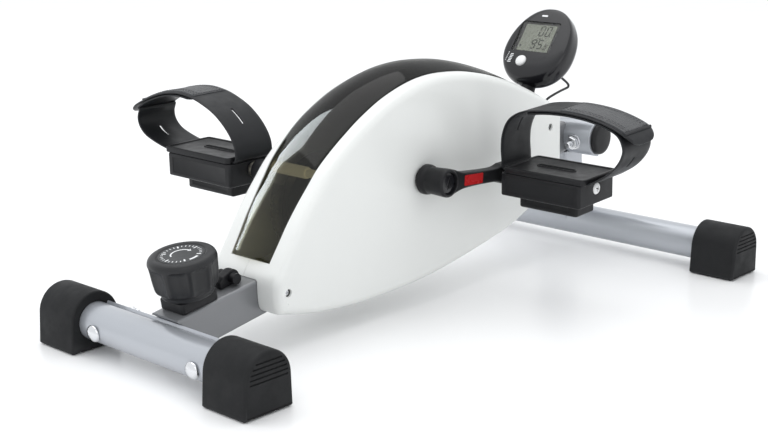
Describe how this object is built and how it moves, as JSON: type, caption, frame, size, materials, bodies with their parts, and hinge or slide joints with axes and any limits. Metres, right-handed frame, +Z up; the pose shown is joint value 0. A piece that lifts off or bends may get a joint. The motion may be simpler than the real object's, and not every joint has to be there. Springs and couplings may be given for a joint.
{
  "type": "pedal exerciser",
  "caption": "Compact under-desk pedal exerciser: tube frame on floor bars, housing with smoked window, strapped pedals, tension knob and display.",
  "frame": {"origin": "centre of the bounding box footprint, on the floor", "axes": "+X from the tension-knob end to the display end, +Y to the left when looking along +X, +Z up"},
  "size_m": [0.71, 0.5161, 0.293],
  "materials": {
    "silver_paint": "satin silver enamel",
    "grey_paint": "satin grey enamel",
    "black_rubber": "matt moulded rubber",
    "black_plastic": "fine-grained satin",
    "gloss_black": "gloss",
    "white_plastic": "gloss",
    "smoked_clear": "gloss smoked transparent plastic",
    "zinc_plate": "bright zinc plate",
    "steel": "machined",
    "cast_iron": "turned cast iron",
    "belt_rubber": "matt",
    "display_window": "gloss clear window over a grey liquid crystal panel",
    "strap_web": "soft matt flexible plastic with a stitched textile pad"
  },
  "bodies": {
    "base": {"front_stabiliser_tube": "silver_paint", "rear_stabiliser_tube": "silver_paint", "rear_cross_tube": "silver_paint", "rear_upright_tube": "silver_paint", "main_tube": "grey_paint", "front_saddle_plate": "grey_paint", "rear_saddle_plate": "grey_paint", "crank_bearing_shell": "grey_paint", "flywheel_bracket": "grey_paint", "foot_cap_front_right": "black_rubber", "foot_cap_front_left": "black_rubber", "foot_cap_rear_right": "black_rubber", "foot_cap_rear_left": "black_rubber", "cross_tube_plug_right": "black_plastic", "cross_tube_plug_left": "black_plastic", "knob_base": "black_plastic", "tether_eyelet": "black_plastic", "console_front": "black_plastic", "console_back": "black_plastic", "console_lead": "black_plastic", "tension_cable": "black_plastic", "front_bolt_right": "zinc_plate", "front_bolt_left": "zinc_plate", "front_nut_right": "zinc_plate", "front_nut_left": "zinc_plate", "rear_bolt_right": "zinc_plate", "rear_bolt_left": "zinc_plate", "rear_nut_right": "zinc_plate", "rear_nut_left": "zinc_plate", "housing_screw_front": "zinc_plate", "housing_screw_rear": "zinc_plate", "housing_shell_right": "white_plastic", "housing_shell_left": "white_plastic", "smoked_window": "smoked_clear", "crank_bearing_right": "steel", "crank_bearing_left": "steel", "drive_belt": "belt_rubber", "console_lens": "display_window"},
    "crank": {"crank_axle": "steel", "drive_pulley": "black_plastic", "crank_arm_right": "black_plastic", "crank_arm_left": "black_plastic", "crank_cap_right": "gloss_black", "crank_cap_left": "gloss_black", "pedal_spindle_right": "steel", "pedal_spindle_left": "steel"},
    "pedal_right": {"pedal_body_right": "black_plastic", "pedal_tread_right": "black_plastic", "pedal_strap_right": "strap_web", "pedal_end_screw_right": "zinc_plate"},
    "pedal_left": {"pedal_body_left": "black_plastic", "pedal_tread_left": "black_plastic", "pedal_strap_left": "strap_web", "pedal_end_screw_left": "zinc_plate"},
    "flywheel": {"flywheel": "cast_iron", "flywheel_shaft": "steel"},
    "magnet": {"magnet_bracket": "steel"},
    "knob": {"tension_knob": "black_plastic"},
    "console_key": {"console_button": "white_plastic"}
  },
  "joints": [
    {"name": "crank_spin", "type": "hinge", "parent": "base", "child": "crank", "pos_m": [-0.0093, 0, 0.1395], "axis": [0, 1, 0], "continuous": true},
    {"name": "flywheel_spin", "type": "hinge", "parent": "base", "child": "flywheel", "pos_m": [-0.08, 0, 0.112], "axis": [0, 1, 0], "continuous": true},
    {"name": "pedal_right_spin", "type": "hinge", "parent": "crank", "child": "pedal_right", "pos_m": [0.09951, -0.144, 0.13304], "axis": [0, 1, 0], "continuous": true},
    {"name": "pedal_left_spin", "type": "hinge", "parent": "crank", "child": "pedal_left", "pos_m": [-0.11811, 0.144, 0.14596], "axis": [0, 1, 0], "continuous": true},
    {"name": "knob_turn", "type": "hinge", "parent": "base", "child": "knob", "pos_m": [-0.2905, 0, 0.08252], "axis": [0.1668, 0, -0.986], "range_deg": [0, 300]},
    {"name": "magnet_close", "type": "hinge", "parent": "base", "child": "magnet", "pos_m": [-0.14, 0.03, 0.064], "axis": [0, 1, 0], "range_deg": [0, 6]},
    {"name": "console_button_press", "type": "slide", "parent": "base", "child": "console_key", "axis": [0.7986, 0, -0.6018], "range_m": [0, 0.0015], "stiffness_N_per_m": 400}
  ],
  "couplings": [
    {"joint": "flywheel_spin", "follows": "crank_spin", "ratio": 5},
    {"joint": "magnet_close", "follows": "knob_turn", "ratio": 0.02}
  ]
}
